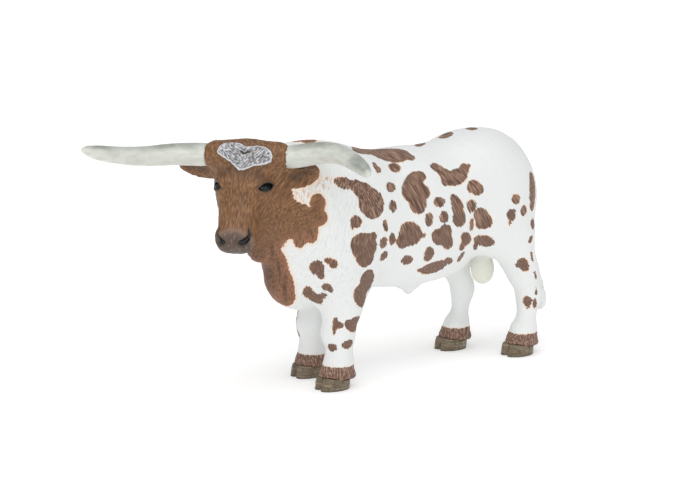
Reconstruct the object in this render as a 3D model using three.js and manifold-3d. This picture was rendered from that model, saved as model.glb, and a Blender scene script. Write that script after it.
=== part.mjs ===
// A longhorn bull as a moulded and painted toy figure, standing square with its head turned to its left.
// Millimetres, +Z up. The bull faces -Y, so its own left side is +X.
//
// The flesh is one smooth field: ellipsoids and tapered rods, each a named muscle or bone, melted together.
// A field is a function of x, y, z that is below zero inside the form. Each node is the skin of that field in
// its own region, parted from its neighbours by thin flat cuts. The ears and the scrotum are skins of small
// fields of their own. Horns, tail and hooves are lofted from rings of points, and the eyes are balls.

import * as THREE from "three";
import { mergeVertices } from "three/addons/utils/BufferGeometryUtils.js";
import Module from "manifold-3d";

const wasm = await Module();
wasm.setup();

// Driving dimensions of the figure.
const GAP = 0.3; // between two neighbouring nodes
const HEAD_LENGTH = 33; // from the poll to the tip of the muzzle
const HEAD_YAW = 43; // degrees, towards the bull's left
const HEAD_PITCH = 52; // degrees, muzzle down
const HEAD_ORIGIN = [-2.2, -60, 74.2]; // middle of the poll, between the horn roots
const SOCK_TOP = 7.4; // height of the line where the brown paint of the feet begins
const CORONET = { height: 2.9, slope: 0.15 }; // top of the hooves, higher over the toes

// Where each foot stands on the ground and on which side of the body. The hind legs are not quite alike:
// `thigh` and `cannon` are radii, and `shankBack` is how far the shank stands back over the foot.
const FEET = {
  front_left: { x: 8.8, y: -36, side: 1 },
  front_right: { x: -8.6, y: -33.7, side: -1 },
  hind_left: { x: 9.2, y: 38.8, side: 1, thigh: 8.2, cannon: 3.6, shankBack: 0 },
  hind_right: { x: -10, y: 25.5, side: -1, thigh: 6.8, cannon: 3.2, shankBack: 0.4 },
};

// Where each part of the flesh is skinned, and the size of its facets there: the face is finest.
const REGIONS = {
  torso: { low: [-24, -66, 17], high: [24, 58, 84], cell: 3.4 },
  neck: { low: [-24, -84, 20], high: [28, -32, 88], cell: 2.7 },
  head: { low: [-24, -90, 38], high: [30, -44, 88], cell: 1.5 },
};
for (const [name, { x, y }] of Object.entries(FEET)) {
  REGIONS[`leg_${name}`] = { low: [x - 11, y - 17, 2], high: [x + 11, y + 17, 48], cell: 2.15 };
  REGIONS[`pastern_${name}`] = { low: [x - 8, y - 8, 1], high: [x + 8, y + 8, 11], cell: 1.6 };
}

// Materials: painted soft plastic.
const paint = (color, roughness) => new THREE.MeshStandardMaterial({ color, roughness, metalness: 0 });
const WHITE_COAT = paint(0xe9eae8, 0.62);
const BROWN_COAT = paint(0x84604b, 0.68);
const SOCK_BROWN = paint(0x7a5c50, 0.6);
const HOOF_BROWN = paint(0x70634e, 0.42);
const HORN_CREAM = paint(0xdfe2da, 0.45);
const EYE_BLACK = paint(0x16181a, 0.2);
const BARE_SKIN = paint(0xe2e2d6, 0.55);

// Field forms.

function ellipsoid(at, radii) {
  const [cx, cy, cz] = at;
  const [rx, ry, rz] = radii;
  return (x, y, z) => {
    const px = (x - cx) / rx;
    const py = (y - cy) / ry;
    const pz = (z - cz) / rz;
    const inUnits = Math.hypot(px, py, pz);
    const slope = Math.hypot(px / rx, py / ry, pz / rz);
    return slope < 1e-6 ? -Math.min(rx, ry, rz) : (inUnits * (inUnits - 1)) / slope;
  };
}

// A rod from one point to another whose radius changes evenly, with round ends.
function rod(from, fromRadius, to, toRadius) {
  const [ax, ay, az] = from;
  const [dx, dy, dz] = [to[0] - ax, to[1] - ay, to[2] - az];
  const lengthSquared = dx * dx + dy * dy + dz * dz;
  return (x, y, z) => {
    const along = ((x - ax) * dx + (y - ay) * dy + (z - az) * dz) / lengthSquared;
    const t = Math.min(1, Math.max(0, along));
    const away = Math.hypot(x - ax - t * dx, y - ay - t * dy, z - az - t * dz);
    return away - (fromRadius + t * (toRadius - fromRadius));
  };
}

const mirrored = (form) => (x, y, z) => form(Math.abs(x), y, z);
const grown = (form, by) => (x, y, z) => form(x, y, z) - by;

function meltTwo(a, b, softness) {
  const h = Math.max(softness - Math.abs(a - b), 0) / softness;
  return Math.min(a, b) - (h * h * softness) / 4;
}

// Melts forms together: each comes with the width of its soft join to those before it.
function melted(first, ...others) {
  return (x, y, z) =>
    others.reduce((value, [form, softness]) => meltTwo(value, form(x, y, z), softness), first(x, y, z));
}

// Presses forms into a body, each with the softness of its rim.
function hollowed(body, ...hollows) {
  return (x, y, z) =>
    hollows.reduce((value, [form, softness]) => -meltTwo(-value, form(x, y, z), softness), body(x, y, z));
}

// Torso: barrel, chest, rump and the muscles that show through the coat.

const torsoForm = melted(
  ellipsoid([0, -5, 51.1], [18, 39, 21.6]), // barrel
  [ellipsoid([0, -32, 51.8], [15.5, 20, 22.4]), 9], // chest
  [ellipsoid([0, 24.6, 57.2], [15.5, 21.8, 17.5]), 9], // rump
  [mirrored(ellipsoid([9, -31, 52.4], [7.6, 13, 19.4])), 8], // shoulder blade
  [mirrored(ellipsoid([10, -36, 42], [6.2, 8.5, 11])), 6], // point of the shoulder
  [mirrored(ellipsoid([8, 30.4, 51.4], [8.6, 12.6, 16.8])), 7], // haunch
  [mirrored(ellipsoid([9.5, 28, 47.6], [6.2, 9, 9.6])), 6], // stifle
  [mirrored(ellipsoid([7.5, 22.5, 66.2], [5.5, 7.6, 6])), 8], // hook bone of the hip
  [ellipsoid([0, -38, 65.6], [6.5, 13, 9.6]), 7], // hump over the withers
  [ellipsoid([0, 29.2, 65.4], [6.5, 11.4, 8.5]), 8], // tail head
  [ellipsoid([0, -44, 38], [7.5, 9.6, 14]), 7], // brisket
  [ellipsoid([0, 0, 32.3], [8, 22, 4.8]), 5], // belly
  [ellipsoid([0, -1.6, 26.9], [2.6, 3.8, 3.6]), 2.5], // sheath
);

// Neck: deep and thick, bent to the left, with the dewlap hanging under it.

const neckForm = melted(
  ellipsoid([0, -44, 57], [12.4, 14, 15.6]),
  [ellipsoid([0, -53, 61.5], [9.4, 12, 12.5]), 6],
  [ellipsoid([-0.5, -49, 69.5], [5.2, 14, 6.6]), 5], // crest
  [rod([0, -47, 48], 8, [2.5, -58, 54], 6), 6], // throat
  [rod([0, -49.2, 34.8], 4.8, [2, -52.6, 50], 3.2), 5], // dewlap
  [rod([2.2, -59.4, 45.4], 4, [5, -61.5, 51.5], 2.6), 2.5], // fold under the jaw
);

// Head, in its own frame: the muzzle points along -Y, the forehead faces +Z, and the poll is the origin.

const MUZZLE_Y = -HEAD_LENGTH;
const EYE_AT = [6.9, -12.4, 1.1];
const EYE_RADII = [1.4, 1.5, 2.2]; // along its own axis, up and down the face, and across

const headForm = melted(
  ellipsoid([0, -5, -3.5], [9.6, 10, 8.5]), // cranium
  [rod([-9.4, -1.5, 2], 4.5, [9.8, -1.5, 2], 4.5), 3.5], // bar that carries the horns
  [ellipsoid([0, -2.5, 3], [8, 4.6, 3.8]), 3], // crown of the poll
  [ellipsoid([0, -9, -1.6], [8, 9.6, 6.8]), 4], // forehead
  [rod([0, -14, -2.2], 5.8, [0, MUZZLE_Y + 7, -1.6], 4.4), 4], // bridge of the nose
  [mirrored(rod([2.5, -15, -2.2], 4.2, [2.1, MUZZLE_Y + 6, -1.6], 3.3)), 3], // sides of the nose
  [mirrored(ellipsoid([2.3, MUZZLE_Y + 4.1, -0.9], [3.4, 3.8, 3.8])), 2], // muzzle pad
  [ellipsoid([0, MUZZLE_Y + 6.2, -4.5], [4.2, 4.4, 2.3]), 1.5], // chin and lower lip
  [mirrored(rod([4.4, -7, -8.6], 4.6, [2.2, -24, -5.2], 2.6)), 4], // jaw
  [mirrored(ellipsoid([5, -9.5, -7.6], [4, 6.6, 6])), 4], // cheek
  [mirrored(rod([6.9, -10.4, 1.4], 1.4, [4.4, -11.6, 4], 1.2)), 2], // brow
  [mirrored(rod([0.8, -7.6, 2.6], 2.4, [4.6, -3.6, 3.2], 3.7)), 1], // arms of the heart-shaped hair patch
);

const headTurn = new THREE.Matrix4()
  .makeTranslation(...HEAD_ORIGIN)
  .multiply(new THREE.Matrix4().makeRotationZ(THREE.MathUtils.degToRad(HEAD_YAW)))
  .multiply(new THREE.Matrix4().makeRotationX(THREE.MathUtils.degToRad(HEAD_PITCH)));
const headTurnBack = headTurn.clone().invert();

// A form of the head's frame, seen from the figure's frame.
function placedOnHead(form) {
  const m = headTurnBack.elements;
  return (x, y, z) =>
    form(
      m[0] * x + m[4] * y + m[8] * z + m[12],
      m[1] * x + m[5] * y + m[9] * z + m[13],
      m[2] * x + m[6] * y + m[10] * z + m[14],
    );
}
const onHead = (point) => new THREE.Vector3(...point).applyMatrix4(headTurn);

// Legs: rods between the joints, melted into the torso above.

const pastern = (x, y, flare) => [
  [rod([x, y + 0.8, 7.5], 4.1, [x, y - 0.4, 2.5], 4.2), 2],
  [ellipsoid([x, y - flare, 3.4], [4.9, 4.2, 3]), 2.5], // hair that flares over the hoof
  [ellipsoid([x - 2.3, y + 5, 3.8], [1.4, 1.8, 1.6]), 1], // dewclaws
  [ellipsoid([x + 2.3, y + 5, 3.8], [1.4, 1.8, 1.6]), 1],
];

function frontLeg({ x, y, side }) {
  const out = (distance) => x + side * distance;
  return melted(
    rod([out(0.5), y - 0.2, 38], 7.6, [out(0), y + 2.4, 26], 6), // forearm
    [ellipsoid([out(0.5), y + 6.6, 32.6], [4.4, 5.6, 6]), 4], // elbow
    [rod([out(0), y + 2.4, 26], 5.9, [out(-0.2), y + 1.2, 18], 4.8), 3],
    [ellipsoid([out(-0.2), y + 0.7, 17.5], [4.8, 4.9, 4.2]), 2.5], // knee
    [rod([out(-0.2), y + 1.5, 16], 4.4, [out(0), y + 1.5, 9], 4), 2.5], // cannon
    [ellipsoid([out(0), y + 1.2, 7.6], [4.4, 4.4, 3.4]), 2.5], // fetlock
    ...pastern(x, y, 1.2),
  );
}

function hindLeg({ x, y, side, thigh, cannon, shankBack }) {
  const out = (distance) => x + side * distance;
  const back = y + shankBack;
  return melted(
    rod([out(-0.5), back - 4.6, 40], thigh, [out(0.2), back + 0.1, 28], cannon + 1.3),
    [rod([out(0), back - 0.2, 30], cannon + 1.2, [out(0.2), back + 3, 20], cannon), 3], // gaskin
    [ellipsoid([out(0), back + 4.6, 20.5], [2.6, 3, 4.2]), 2.5], // point of the hock
    [rod([out(0), back + 3, 20], cannon, [out(0), y + 2.4, 9], cannon - 0.3), 3], // cannon
    [ellipsoid([out(0), y + 1.6, 7.6], [cannon + 0.4, 4.3, 3.4]), 2.5], // fetlock
    ...pastern(x, y, 0.7),
  );
}

const LEG_FORMS = {
  front_left: frontLeg(FEET.front_left),
  front_right: frontLeg(FEET.front_right),
  hind_left: hindLeg(FEET.hind_left),
  hind_right: hindLeg(FEET.hind_right),
};

const bodyField = melted(
  torsoForm,
  [neckForm, 7],
  [placedOnHead(headForm), 3],
  ...Object.values(LEG_FORMS).map((form) => [form, 4]),
);

// The skin of a field.

// One vertex in each cell that the surface crosses, and a quad round each crossed grid edge.
// Everything outside the box counts as empty, so the skin is closed at its walls. Vertices there stay put.
function skinOf(field, low, high, cell) {
  const count = low.map((value, axis) => Math.ceil((high[axis] - value) / cell) + 1);
  const [nx, ny, nz] = count;
  const at = (i, j, k) => i + nx * (j + ny * k);
  const onWall = (i, j, k) => [i, j, k].some((step, axis) => step === 0 || step === count[axis] - 1);
  const values = new Float32Array(nx * ny * nz);
  for (let k = 0; k < nz; k++)
    for (let j = 0; j < ny; j++)
      for (let i = 0; i < nx; i++)
        values[at(i, j, k)] = onWall(i, j, k)
          ? cell
          : field(low[0] + i * cell, low[1] + j * cell, low[2] + k * cell);

  const points = [];
  const atWall = [];
  const vertexOfCell = new Map();
  for (let k = 0; k < nz - 1; k++)
    for (let j = 0; j < ny - 1; j++)
      for (let i = 0; i < nx - 1; i++) {
        const crossing = crossingOfCell(values, at, i, j, k);
        if (!crossing) continue;
        vertexOfCell.set(at(i, j, k), points.length);
        points.push(crossing.map((value, axis) => low[axis] + value * cell));
        atWall.push(onWall(i, j, k) || onWall(i + 1, j + 1, k + 1));
      }

  const quads = [];
  const steps = [
    [1, 0, 0],
    [0, 1, 0],
    [0, 0, 1],
  ];
  for (let k = 0; k < nz - 1; k++)
    for (let j = 0; j < ny - 1; j++)
      for (let i = 0; i < nx - 1; i++)
        steps.forEach((step, axis) => {
          const insideHere = values[at(i, j, k)] < 0;
          const insideThere = values[at(i + step[0], j + step[1], k + step[2])] < 0;
          if (insideHere === insideThere) return;
          const u = steps[(axis + 1) % 3];
          const v = steps[(axis + 2) % 3];
          const corner = (a, b) =>
            vertexOfCell.get(at(i - a * u[0] - b * v[0], j - a * u[1] - b * v[1], k - a * u[2] - b * v[2]));
          const quad = [corner(0, 0), corner(1, 0), corner(1, 1), corner(0, 1)];
          quads.push(insideHere ? quad : quad.reverse());
        });
  settle(points, quads, atWall, field);
  return geometryOf(points, quads);
}

function crossingOfCell(values, at, i, j, k) {
  const sum = [0, 0, 0];
  let crossed = 0;
  for (let axis = 0; axis < 3; axis++)
    for (let a = 0; a < 2; a++)
      for (let b = 0; b < 2; b++) {
        const start = [0, 0, 0];
        start[(axis + 1) % 3] = a;
        start[(axis + 2) % 3] = b;
        const end = start.slice();
        end[axis] = 1;
        const from = values[at(i + start[0], j + start[1], k + start[2])];
        const to = values[at(i + end[0], j + end[1], k + end[2])];
        if (from < 0 === to < 0) continue;
        start[axis] = from / (from - to);
        sum[0] += i + start[0];
        sum[1] += j + start[1];
        sum[2] += k + start[2];
        crossed++;
      }
  return crossed ? sum.map((value) => value / crossed) : null;
}

// Evens out the facets, then draws each vertex onto the surface itself.
function settle(points, quads, fixed, field) {
  const neighbours = points.map(() => new Set());
  for (const quad of quads)
    quad.forEach((vertex, n) => {
      neighbours[vertex].add(quad[(n + 1) % 4]);
      neighbours[vertex].add(quad[(n + 3) % 4]);
    });
  const evenings = 3;
  for (let pass = 0; pass < evenings; pass++) {
    const middles = points.map((point, n) => {
      const middle = [0, 0, 0];
      for (const other of neighbours[n]) middle.forEach((_, axis) => (middle[axis] += points[other][axis]));
      return middle.map((value, axis) => (value / neighbours[n].size + point[axis]) / 2);
    });
    middles.forEach((middle, n) => {
      if (!fixed[n]) points[n] = drawnToSurface(middle, field);
    });
  }
}

function drawnToSurface(point, field) {
  const probe = 0.02;
  let [x, y, z] = point;
  for (let step = 0; step < 4; step++) {
    const value = field(x, y, z);
    const slope = [
      (field(x + probe, y, z) - field(x - probe, y, z)) / (2 * probe),
      (field(x, y + probe, z) - field(x, y - probe, z)) / (2 * probe),
      (field(x, y, z + probe) - field(x, y, z - probe)) / (2 * probe),
    ];
    const squared = Math.max(slope[0] ** 2 + slope[1] ** 2 + slope[2] ** 2, 0.2);
    x -= (value * slope[0]) / squared;
    y -= (value * slope[1]) / squared;
    z -= (value * slope[2]) / squared;
  }
  return [x, y, z];
}

function geometryOf(points, faces) {
  const index = faces.flatMap((face) =>
    face.length === 3 ? face : [face[0], face[1], face[2], face[0], face[2], face[3]],
  );
  const geometry = new THREE.BufferGeometry();
  geometry.setAttribute("position", new THREE.Float32BufferAttribute(points.flat(), 3));
  geometry.setIndex(index);
  return geometry;
}

// Solids: closed meshes that can be joined and cut.

function solidOf(geometry) {
  const bare = geometry.clone();
  bare.deleteAttribute("normal");
  bare.deleteAttribute("uv");
  const merged = mergeVertices(bare, 1e-4);
  return new wasm.Manifold(
    new wasm.Mesh({
      numProp: 3,
      vertProperties: new Float32Array(merged.attributes.position.array),
      triVerts: new Uint32Array(merged.index.array),
    }),
  );
}

// Only the largest closed surface of a solid is kept.
function largest(solid) {
  return solid.decompose().reduce((a, b) => (b.volume() > a.volume() ? b : a));
}

function meshOf(name, solid, material) {
  const { vertProperties, triVerts } = largest(solid).getMesh();
  const geometry = new THREE.BufferGeometry();
  geometry.setAttribute("position", new THREE.BufferAttribute(new Float32Array(vertProperties), 3));
  geometry.setIndex(new THREE.BufferAttribute(new Uint32Array(triVerts), 1));
  geometry.computeVertexNormals();
  const mesh = new THREE.Mesh(geometry, material);
  mesh.name = name;
  return mesh;
}

const HUGE = 200;

// The half of space on the side of a plane that its normal points to, as a block.
function halfSpace(point, normal, shift = 0) {
  const direction = new THREE.Vector3(...normal).normalize();
  const block = new THREE.BoxGeometry(HUGE, HUGE, HUGE);
  block.translate(0, 0, HUGE / 2 + shift);
  block.applyQuaternion(new THREE.Quaternion().setFromUnitVectors(new THREE.Vector3(0, 0, 1), direction));
  block.translate(...point);
  return solidOf(block);
}

// A closed form from rings of points, each ring with as many points as the next.
function loft(rings) {
  const sides = rings[0].length;
  const points = rings.flat();
  const faces = [];
  for (let ring = 0; ring < rings.length - 1; ring++)
    for (let side = 0; side < sides; side++) {
      const next = (side + 1) % sides;
      const [a, b] = [ring * sides + side, ring * sides + next];
      faces.push([a, b, b + sides, a + sides]);
    }
  const middleOf = (ring) => ring[0].map((_, axis) => ring.reduce((sum, p) => sum + p[axis], 0) / sides);
  const first = points.push(middleOf(rings[0])) - 1;
  const last = points.push(middleOf(rings[rings.length - 1])) - 1;
  const lastRing = (rings.length - 1) * sides;
  for (let side = 0; side < sides; side++) {
    const next = (side + 1) % sides;
    faces.push([first, next, side]);
    faces.push([last, lastRing + side, lastRing + next]);
  }
  return geometryOf(points, faces);
}

// A tapering round form along a curve, closed by round ends.
function sweep(curve, radiusAt, { rings, sides, across = [0, 0, 1] }) {
  const upright = new THREE.Vector3(...across);
  const made = [];
  const roundEnd = [0.965, 0.98, 0.992, 1];
  const stations = Array.from({ length: rings }, (_, n) => (0.95 * n) / (rings - 1)).concat(roundEnd);
  for (const t of stations) {
    const centre = curve.getPointAt(t);
    const ahead = curve.getTangentAt(t);
    const side = new THREE.Vector3().crossVectors(upright, ahead).normalize();
    const up = new THREE.Vector3().crossVectors(ahead, side).normalize();
    const radius = radiusAt(t);
    made.push(
      Array.from({ length: sides }, (_, s) => {
        const angle = (2 * Math.PI * s) / sides;
        return centre
          .clone()
          .addScaledVector(side, Math.cos(angle) * radius)
          .addScaledVector(up, Math.sin(angle) * radius)
          .toArray();
      }),
    );
  }
  return loft(made);
}

// Thickness along a form that keeps its taper and ends in a blunt round tip.
const bluntTip = (radius, t, roundFrom) =>
  t < roundFrom ? radius : radius * Math.sqrt(Math.max(1 - ((t - roundFrom) / (1 - roundFrom)) ** 2, 0.0025));

const curveThrough = (points) => new THREE.CatmullRomCurve3(points.map((p) => new THREE.Vector3(...p)));

// Cuts between the nodes of flesh.

const NECK_CUT = { point: [0, -40, 62], normal: [0, 0.96, -0.28] }; // its normal points into the torso
const NAPE_CUT = { point: [-2.2, -53.2, 70], normal: [-0.5, 0.866, -0.05] }; // into the neck
const THROAT_CUT = {
  point: onHead([0, -16, -11.5]).toArray(),
  normal: new THREE.Vector3(0, -0.2, -1).transformDirection(headTurn).toArray(),
}; // its normal points down into the dewlap

// The slanting plane over each leg, and how far before and behind the foot the leg reaches.
const LEG_CUTS = {
  front: { inner: 24, outer: 34, before: 12, behind: 15 },
  hind: { inner: 27, outer: 35, before: 15, behind: 16 },
};
const LEG_REACH = 17; // from the middle plane to the outside of a leg

const opposite = (normal) => normal.map((value) => -value);

// The space in front of the nape and above the throat.
function headSpace(shift = 0) {
  return halfSpace(NAPE_CUT.point, opposite(NAPE_CUT.normal), shift).intersect(
    halfSpace(THROAT_CUT.point, opposite(THROAT_CUT.normal), shift),
  );
}

// The space under the slanting plane where a leg is parted from the torso.
function legSpace(name, shift = 0) {
  const { inner, outer, before, behind } = LEG_CUTS[name.split("_")[0]];
  const { y, side } = FEET[name];
  const slope = (outer - inner) / LEG_REACH;
  const top = (x) => inner + slope * x + shift * Math.hypot(1, slope);
  const [near, far] = [-shift / 2, HUGE / 2];
  const outline = [
    [near, top(near)],
    [far, top(far)],
    [far, -far],
    [near, -far],
  ];
  if (side < 0) outline.reverse();
  const ring = (along) => outline.map(([x, z]) => [side * x, along, z]);
  return solidOf(loft([ring(y - before - shift), ring(y + behind + shift)]));
}

// The flesh in one region as a solid, or the same a little fatter. Each is worked out once.
const fleshMade = new Map();
function flesh(region, extra = 0) {
  const key = `${region} ${extra}`;
  const { low, high, cell } = REGIONS[region];
  if (!fleshMade.has(key)) fleshMade.set(key, solidOf(skinOf(grown(bodyField, extra), low, high, cell)));
  return fleshMade.get(key);
}

// A solid with a little air between it and the flesh it grows out of.
const clearOf = (solid, ...regions) =>
  regions.reduce((left, region) => left.subtract(flesh(region, GAP)), solid);

function torso() {
  let solid = flesh("torso").intersect(halfSpace(NECK_CUT.point, NECK_CUT.normal));
  for (const name of Object.keys(FEET)) solid = solid.subtract(legSpace(name));
  return meshOf("torso", solid, WHITE_COAT);
}

function neck() {
  const solid = flesh("neck")
    .intersect(halfSpace(NECK_CUT.point, opposite(NECK_CUT.normal), GAP))
    .subtract(headSpace(-GAP));
  return meshOf("neck", solid, BROWN_COAT);
}

function leg(name) {
  const solid = flesh(`leg_${name}`)
    .intersect(legSpace(name, -GAP))
    .intersect(halfSpace([0, 0, SOCK_TOP], [0, 0, 1], GAP));
  return meshOf(`leg_${name}`, solid, WHITE_COAT);
}

function pasternNode(name) {
  const solid = flesh(`pastern_${name}`)
    .intersect(halfSpace([0, 0, SOCK_TOP], [0, 0, -1]))
    .intersect(halfSpace([0, FEET[name].y, CORONET.height], [0, CORONET.slope, 1], GAP));
  return meshOf(`pastern_${name}`, solid, SOCK_BROWN);
}

// Hooves: two claws that meet in the middle, flat on the ground, with a groove between them.
// `narrowing` and `soleRounding` are sizes of the top ring and of the bottom ring beside the widest one.
const HOOF = {
  length: 10.8,
  clawWidth: 5.2,
  clawApart: 2.1,
  toesCloser: 0.5,
  narrowing: 0.92,
  soleRounding: 0.94,
  toeSlope: 1.5,
  ahead: 1.5,
};

function claw(x, y, side) {
  const sides = 16;
  const levels = 4;
  const rings = Array.from({ length: levels }, (_, level) => {
    const rise = level / (levels - 1);
    const size = level === 0 ? HOOF.soleRounding : 1 - (1 - HOOF.narrowing) * rise;
    return Array.from({ length: sides }, (_, s) => {
      const angle = (2 * Math.PI * s) / sides;
      const ahead = Math.max(-Math.sin(angle), 0);
      const lengthways = (Math.sin(angle) * HOOF.length * size) / 2 - HOOF.ahead + HOOF.toeSlope * rise * ahead;
      return [
        x + side * (HOOF.clawApart - HOOF.toesCloser * ahead) + (Math.cos(angle) * HOOF.clawWidth * size) / 2,
        y + lengthways,
        (CORONET.height - CORONET.slope * lengthways) * rise,
      ];
    });
  });
  return solidOf(loft(rings));
}

function hoof(name) {
  const { x, y } = FEET[name];
  return meshOf(`hoof_${name}`, claw(x, y, 1).add(claw(x, y, -1)), HOOF_BROWN);
}

// Head: the skin of the field in front of the nape, with sockets, nostrils and mouth cut in.

// A ball on the head whose own X axis looks `outwards` degrees from the forehead's side towards its front.
function ballOnHead(side, at, radii, outwards) {
  const ball = new THREE.SphereGeometry(1, 12, 8);
  ball.scale(...radii);
  ball.rotateY(-side * THREE.MathUtils.degToRad(outwards));
  ball.translate(side * at[0], at[1], at[2]);
  ball.applyMatrix4(headTurn);
  return solidOf(ball);
}

const eyeSolid = (side, extra = 0) =>
  ballOnHead(
    side,
    EYE_AT,
    EYE_RADII.map((radius) => radius + extra),
    45,
  );

const NOSTRIL_AT = [4.4, MUZZLE_Y + 3.6, 1.9];
const NOSTRIL_RADII = [0.8, 2, 0.9];
const nostril = (side) => ballOnHead(side, NOSTRIL_AT, NOSTRIL_RADII, 0);

function mouthLine() {
  const half = [
    [5.4, MUZZLE_Y + 9, -4.6],
    [4.9, MUZZLE_Y + 4.6, -4.2],
    [2.6, MUZZLE_Y + 1.4, -3.8],
  ];
  const middle = [0, MUZZLE_Y + 0.8, -3.7];
  const otherHalf = half.map(([x, y, z]) => [-x, y, z]).reverse();
  const groove = sweep(curveThrough([...half, middle, ...otherHalf]), () => 0.5, { rings: 12, sides: 6 });
  return solidOf(groove.applyMatrix4(headTurn));
}

function head() {
  let solid = flesh("head").intersect(headSpace());
  for (const side of [1, -1]) solid = solid.subtract(eyeSolid(side, GAP)).subtract(nostril(side));
  return meshOf("head", solid.subtract(mouthLine()), BROWN_COAT);
}

// Horns and ears are placed in the head's level frame: sideways, forwards and upwards from the poll.

const levelTurn = new THREE.Matrix4()
  .makeTranslation(...HEAD_ORIGIN)
  .multiply(new THREE.Matrix4().makeRotationZ(THREE.MathUtils.degToRad(HEAD_YAW)));
const besidePoll = (side, [sideways, forwards, upwards]) =>
  new THREE.Vector3(side * sideways, -forwards, upwards).applyMatrix4(levelTurn);

const HORN_RADIUS = 3.7;
const HORN_THINNING = 0.47; // share of the radius lost by the tip
const HORN_FORWARDS = 23;

// The soft plastic horns do not hang quite alike: `spread` is how far a tip stands out from its root,
// and `rises` are heights over the root along the horn.
const HORNS = {
  left: { side: 1, spread: 28.5, rises: [1.6, 2.5, 1, -1.3] },
  right: { side: -1, spread: 30.4, rises: [0, 0, 1.6, 3.8] },
};

function hornSolid({ side, spread, rises }, extra = 0) {
  const [rootSide, rootForwards] = [13.8, 2.4];
  const outwards = [0.28, 0.56, 0.82, 1];
  const forwards = [0.08, 0.34, 0.7, 1];
  const way = [
    [9, rootForwards, 0],
    [rootSide, rootForwards, 0],
    ...rises.map((rise, n) => [
      rootSide + outwards[n] * spread,
      rootForwards + forwards[n] * HORN_FORWARDS,
      rise,
    ]),
  ];
  const curve = new THREE.CatmullRomCurve3(way.map((point) => besidePoll(side, point)));
  const taper = (t) => HORN_RADIUS * (1 - HORN_THINNING * t ** 1.6) + extra;
  return solidOf(sweep(curve, (t) => bluntTip(taper(t), t, 0.85), { rings: 16, sides: 12 }));
}

const horn = (name) =>
  meshOf(`horn_${name}`, clearOf(hornSolid(HORNS[name]), "head", "neck"), HORN_CREAM);

// Ears: a flat leaf with a cup pressed into its front. In its own frame it lies along X and the cup faces -Y.
const EAR = { length: 14.5, thickness: 3.8, width: 7, rootSunk: 1, cell: 1.2 };
const CUP = { ahead: 0.5, rim: 2, depth: 1.5, width: 4.6, softness: 0.6 };
const CUP_FACES = [1, 3, -1.6];

// Like the horns, the ears are not quite alike: where each one's root and tip are beside the poll.
const EARS = {
  left: { root: [9.5, 0, -7.8], tip: [21.6, 0.2, -3.8] },
  right: { root: [9.5, 0, -6], tip: [22, 0, -3.3] },
};

const earForm = hollowed(
  ellipsoid([EAR.length / 2 - EAR.rootSunk, 0, 0], [EAR.length / 2, EAR.thickness / 2, EAR.width / 2]),
  [
    ellipsoid(
      [EAR.length / 2 - CUP.ahead, -EAR.thickness / 2, 0],
      [EAR.length / 2 - CUP.rim, CUP.depth, CUP.width / 2],
    ),
    CUP.softness,
  ],
);

function ear(name) {
  const { side } = HORNS[name];
  const root = besidePoll(side, EARS[name].root);
  const along = besidePoll(side, EARS[name].tip).sub(root).normalize();
  const cupFaces = besidePoll(side, CUP_FACES).sub(besidePoll(side, [0, 0, 0]));
  const broad = new THREE.Vector3().crossVectors(along, cupFaces).normalize();
  const thick = new THREE.Vector3().crossVectors(broad, along);
  const turn = new THREE.Matrix4().makeBasis(along, thick.negate(), broad.negate());
  const skin = skinOf(earForm, [-3, -4, -5], [EAR.length + 1, 4, 5], EAR.cell);
  skin.applyMatrix4(turn.setPosition(root));
  const solid = solidOf(skin).subtract(hornSolid(HORNS[name], GAP));
  return meshOf(`ear_${name}`, clearOf(solid, "head", "neck"), BROWN_COAT);
}

// Tail: a thin rope down the middle of the rump, thicker in the brush at its end.
const TAIL_WAY = [
  [0, 36.4, 71.2],
  [0, 42, 67.9],
  [0, 47.2, 60],
  [0, 49.2, 50],
  [0, 49.5, 38],
  [0, 51.2, 25],
  [0, 55.5, 11.2],
];
const TAIL_RADIUS = { root: 2.4, rope: 1.7, brush: 3.2 };

function tail() {
  const { root, rope, brush } = TAIL_RADIUS;
  const curve = curveThrough(TAIL_WAY);
  const thinning = (t) => (root - rope) * THREE.MathUtils.smoothstep(t, 0, 0.5);
  const filling = (t) => (brush - rope) * THREE.MathUtils.smoothstep(t, 0.62, 0.82);
  const radiusAt = (t) => bluntTip(root - thinning(t) + filling(t), t, 0.93);
  const solid = solidOf(sweep(curve, radiusAt, { rings: 16, sides: 10, across: [1, 0, 0] }));
  return meshOf("tail", clearOf(solid, "torso", "leg_hind_left", "leg_hind_right"), WHITE_COAT);
}

// Scrotum: a bag on a short neck, hanging free between the hind legs.
const SCROTUM_AT = [-0.5, 30.1, 28.1];
const SCROTUM_RADII = [3.6, 4.4, 5.2];
const SCROTUM_NECK = 2.8; // its radius
const SCROTUM_CELL = 2;

function scrotum() {
  const [x, y, z] = SCROTUM_AT;
  const neckRod = rod([x, y - 0.5, z + 4], SCROTUM_NECK, [x, y - 2, z + 14], SCROTUM_NECK);
  const form = melted(ellipsoid(SCROTUM_AT, SCROTUM_RADII), [neckRod, 2.5]);
  const skin = solidOf(skinOf(form, [x - 6, y - 6, z - 7], [x + 6, y + 6, z + 18], SCROTUM_CELL));
  return meshOf("scrotum", clearOf(skin, "torso", "leg_hind_left", "leg_hind_right"), BARE_SKIN);
}

const group = new THREE.Group();
group.add(torso(), neck(), head(), tail(), scrotum());
for (const name of Object.keys(FEET)) group.add(leg(name), pasternNode(name), hoof(name));
group.add(meshOf("eye_left", eyeSolid(1), EYE_BLACK), meshOf("eye_right", eyeSolid(-1), EYE_BLACK));
group.add(horn("left"), horn("right"));
group.add(ear("left"), ear("right"));

// The frame's origin is in the middle of the figure's bounding box, on the ground.
const box = new THREE.Box3().setFromObject(group);
const middle = box.getCenter(new THREE.Vector3());
group.traverse((node) => node.geometry?.translate(-middle.x, -middle.y, -box.min.z));

export default group;
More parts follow.
